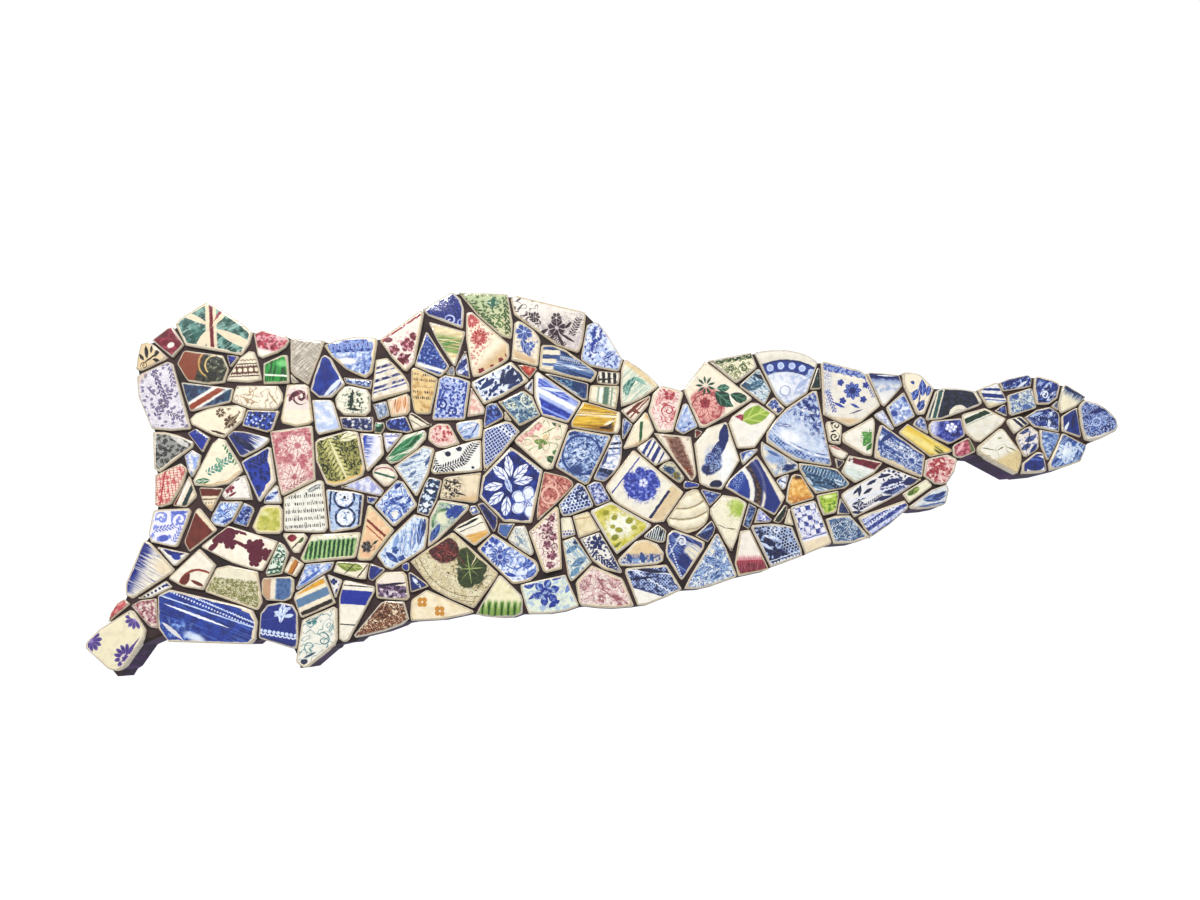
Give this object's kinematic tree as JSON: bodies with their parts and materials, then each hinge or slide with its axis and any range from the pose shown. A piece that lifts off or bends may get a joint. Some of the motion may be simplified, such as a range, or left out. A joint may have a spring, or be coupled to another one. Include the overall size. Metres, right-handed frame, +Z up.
{
  "type": "pottery shard mosaic panel",
  "caption": "Long, irregular wall plaque: worn shards of patterned pottery set flush-edged in dark filler on a painted board with a flat back to hang on a wall.",
  "frame": {"origin": "on the board's flat back face, below the middle of the panel's length, where the camera's line meets it in the picture", "axes": "+X to the right in the front view, along the panel's length; +Z up; +Y into the wall, so the shard faces look to -Y"},
  "size_m": [0.6202, 0.0255, 0.2311],
  "materials": {
    "navy_glaze": "gloss",
    "filler_and_small_shards": "matte",
    "cream_glaze": "gloss",
    "steel_glaze": "gloss",
    "white_glaze": "gloss",
    "pale_glaze": "gloss",
    "cobalt_glaze": "gloss",
    "painted_wood": "matte",
    "lilac_glaze": "gloss",
    "green_glaze": "gloss",
    "olive_glaze": "gloss",
    "tan_glaze": "gloss",
    "pink_glaze": "gloss",
    "brown_glaze": "gloss",
    "teal_glaze": "gloss",
    "yellow_glaze": "gloss"
  },
  "bodies": {
    "root": {"bar_border_shard": "navy_glaze", "bed_with_small_shards": "filler_and_small_shards", "berry_branch_shard": "cream_glaze", "big_leaves_shard": "cream_glaze", "blue_blossom_shard": "cream_glaze", "blue_brush_shard": "steel_glaze", "blue_check_shard": "white_glaze", "blue_daisy_shard": "cream_glaze", "blue_lattice_shard": "navy_glaze", "blue_rim_shard": "pale_glaze", "blue_strokes_shard": "white_glaze", "blue_wave_shard": "cobalt_glaze", "blue_weave_shard": "cobalt_glaze", "board": "painted_wood", "brown_blue_bands_shard": "cobalt_glaze", "cartouche_shard": "lilac_glaze", "cobalt_band_shard": "cobalt_glaze", "cobalt_leaf_shard": "cobalt_glaze", "cobalt_sprig_shard": "cobalt_glaze", "cup_rim_shard": "pale_glaze", "feather_edge_shard": "cobalt_glaze", "foot_scallop_shard": "cream_glaze", "green_fronds_shard": "cream_glaze", "green_ribs_shard": "green_glaze", "green_stems_shard": "cream_glaze", "green_trellis_shard": "olive_glaze", "grey_sprig_shard": "lilac_glaze", "leaf_chain_shard": "cream_glaze", "lilac_cloud_shard": "lilac_glaze", "lime_leaf_shard": "cream_glaze", "lime_patch_shard": "cream_glaze", "long_cobalt_shard": "cobalt_glaze", "maroon_petals_shard": "cream_glaze", "moulded_leaf_shard": "olive_glaze", "navy_garden_shard": "white_glaze", "navy_stem_shard": "tan_glaze", "ochre_crosses_shard": "cream_glaze", "olive_print_shard": "olive_glaze", "pale_leaves_shard": "pale_glaze", "pink_floral_shard": "pink_glaze", "pink_transfer_shard": "pink_glaze", "plate_rim_shard": "white_glaze", "purple_sprays_shard": "cream_glaze", "red_flower_shard": "cream_glaze", "ridged_fan_shard": "cream_glaze", "rim_landscape_shard": "pale_glaze", "ring_border_shard": "pale_glaze", "rose_and_leaf_shard": "cream_glaze", "script_rows_shard": "cream_glaze", "scroll_dusk_shard": "brown_glaze", "seaweed_shard": "pink_glaze", "shell_petals_shard": "pale_glaze", "soft_petals_shard": "white_glaze", "starburst_shard": "teal_glaze", "steel_swirl_shard": "steel_glaze", "teal_flower_shard": "cream_glaze", "tulip_ground_shard": "cobalt_glaze", "vine_leaves_shard": "cream_glaze", "yellow_spots_shard": "yellow_glaze"}
  },
  "joints": []
}
